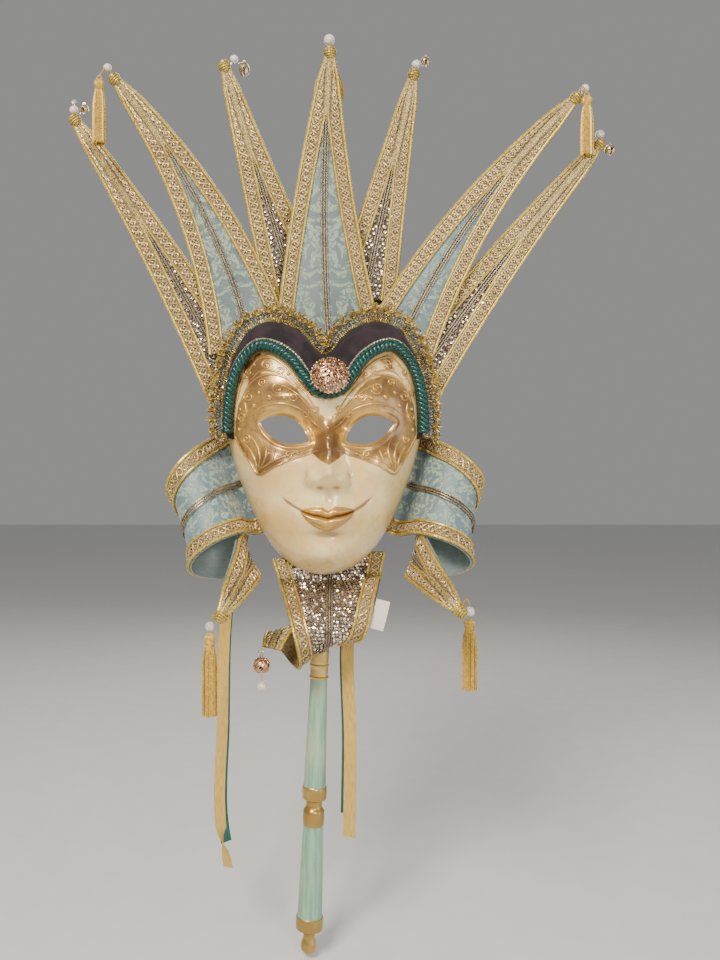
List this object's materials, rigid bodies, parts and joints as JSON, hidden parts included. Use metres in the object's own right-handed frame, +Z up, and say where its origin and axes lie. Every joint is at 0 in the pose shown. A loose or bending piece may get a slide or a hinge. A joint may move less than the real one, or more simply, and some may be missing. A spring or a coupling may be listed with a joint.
{
  "type": "jester masquerade mask on a stick",
  "caption": "Wall-hung or hand-held carnival face mask with a crown of braided spikes, rolled curls, tassels, bells, ribbons and a turned stick.",
  "frame": {"origin": "the wall hook, on the wall plane, inside the hanging loop behind the forehead", "axes": "+Z up along the stick towards the crown, -Y out of the face towards the viewer, +X to the viewer's right"},
  "size_m": [0.4455, 0.1201, 0.7511],
  "materials": {
    "papier_mache": "aged gloss varnish over cream paint, gold paint round the eyes and on the lips",
    "velvet": "black plum velvet",
    "green_satin": "dark green satin",
    "gold_satin": "gold satin and rayon",
    "gold_thread": "metallic gold braid",
    "brocade": "light blue damask",
    "sequin": "bronze net with silver sequins",
    "brass": "rosy gold plating",
    "pearl": "pearl",
    "crystal": "clear faceted",
    "card": "matt dark card",
    "painted_wood": "sage green paint, gold rings",
    "raw_wood": "plain beech",
    "label_cloth": "plain cream cloth, nothing printed"
  },
  "bodies": {
    "mask": {"face_shell": "papier_mache", "brow_velvet": "velvet", "brow_cord": "green_satin", "rim_gimp": "gold_thread", "brooch": "brass", "spike_outer_left": "sequin", "braid_outer_left": "gold_thread", "spike_left": "brocade", "braid_left": "gold_thread", "spike_inner_left": "sequin", "braid_inner_left": "gold_thread", "spike_centre": "brocade", "braid_centre": "gold_thread", "spike_inner_right": "sequin", "braid_inner_right": "gold_thread", "spike_right": "brocade", "braid_right": "gold_thread", "spike_outer_right": "sequin", "braid_outer_right": "gold_thread", "cheek_curl_left": "brocade", "braid_cheek_curl_left": "gold_thread", "cheek_curl_right": "brocade", "braid_cheek_curl_right": "gold_thread", "chin_curl": "sequin", "braid_chin_curl": "gold_thread", "stick": "painted_wood", "crown_board": "card", "hanging_loop": "gold_satin", "stick_block": "raw_wood", "care_label": "label_cloth", "pearl_outer_left": "pearl", "pearl_left": "pearl", "pearl_inner_left": "pearl", "pearl_centre": "pearl", "pearl_inner_right": "pearl", "pearl_right": "pearl", "pearl_outer_right": "pearl", "ribbon_gold_left": "gold_satin", "ribbon_green_left": "green_satin", "ribbon_gold_right": "gold_satin", "ribbon_green_right": "green_satin"},
    "left_tassel": {"tassel_left": "gold_satin"},
    "centre_tassel": {"tassel_centre": "gold_satin"},
    "right_tassel": {"tassel_right": "gold_satin"},
    "left_cheek_tassel": {"tassel_cheek_left": "gold_satin", "pearl_cheek_left": "pearl"},
    "right_cheek_tassel": {"tassel_cheek_right": "gold_satin", "pearl_cheek_right": "pearl"},
    "outer_left_bell": {"bell_outer_left": "brass", "pellet_outer_left": "brass"},
    "inner_left_bell": {"bell_inner_left": "brass", "pellet_inner_left": "brass"},
    "inner_right_bell": {"bell_inner_right": "brass", "pellet_inner_right": "brass"},
    "outer_right_bell": {"bell_outer_right": "brass", "pellet_outer_right": "brass"},
    "chin_bell": {"bead_chin": "crystal", "bell_chin": "brass", "pellet_chin": "brass"},
    "chin_drop": {"pearl_chin": "pearl"}
  },
  "joints": [
    {"name": "left_tassel_swing", "type": "hinge", "parent": "mask", "child": "left_tassel", "pos_m": [-0.179, -0.057, 0.193], "axis": [0, 1, 0], "range_deg": [-45, 45]},
    {"name": "centre_tassel_swing", "type": "hinge", "parent": "mask", "child": "centre_tassel", "pos_m": [0.003, -0.037, 0.219], "axis": [0, 1, 0], "range_deg": [-40, 40]},
    {"name": "right_tassel_swing", "type": "hinge", "parent": "mask", "child": "right_tassel", "pos_m": [0.2055, -0.057, 0.18], "axis": [0, 1, 0], "range_deg": [-45, 35]},
    {"name": "left_cheek_tassel_swing", "type": "hinge", "parent": "mask", "child": "left_cheek_tassel", "pos_m": [-0.0915, -0.06, -0.2345], "axis": [0, 1, 0], "range_deg": [-25, 45]},
    {"name": "right_cheek_tassel_swing", "type": "hinge", "parent": "mask", "child": "right_cheek_tassel", "pos_m": [0.112, -0.062, -0.2225], "axis": [0, 1, 0], "range_deg": [-45, 45]},
    {"name": "outer_left_bell_swing", "type": "hinge", "parent": "mask", "child": "outer_left_bell", "pos_m": [-0.1992, -0.034, 0.1742], "axis": [0, 1, 0], "range_deg": [-10, 25], "stiffness_Nm_per_rad": 0.003},
    {"name": "inner_left_bell_swing", "type": "hinge", "parent": "mask", "child": "inner_left_bell", "pos_m": [-0.0706, -0.034, 0.2156], "axis": [0, 1, 0], "range_deg": [-25, 20], "stiffness_Nm_per_rad": 0.003},
    {"name": "inner_right_bell_swing", "type": "hinge", "parent": "mask", "child": "inner_right_bell", "pos_m": [0.0782, -0.034, 0.2159], "axis": [0, 1, 0], "range_deg": [-20, 20], "stiffness_Nm_per_rad": 0.003},
    {"name": "outer_right_bell_swing", "type": "hinge", "parent": "mask", "child": "outer_right_bell", "pos_m": [0.2286, -0.034, 0.147], "axis": [0, 1, 0], "range_deg": [-25, 20], "stiffness_Nm_per_rad": 0.003},
    {"name": "chin_bell_swing", "type": "hinge", "parent": "mask", "child": "chin_bell", "pos_m": [-0.051, -0.06, -0.256], "axis": [0, 1, 0], "range_deg": [-25, 25]},
    {"name": "chin_drop_swing", "type": "hinge", "parent": "chin_bell", "child": "chin_drop", "pos_m": [-0.051, -0.06, -0.2768], "axis": [0, 1, 0], "range_deg": [-30, 30]}
  ]
}
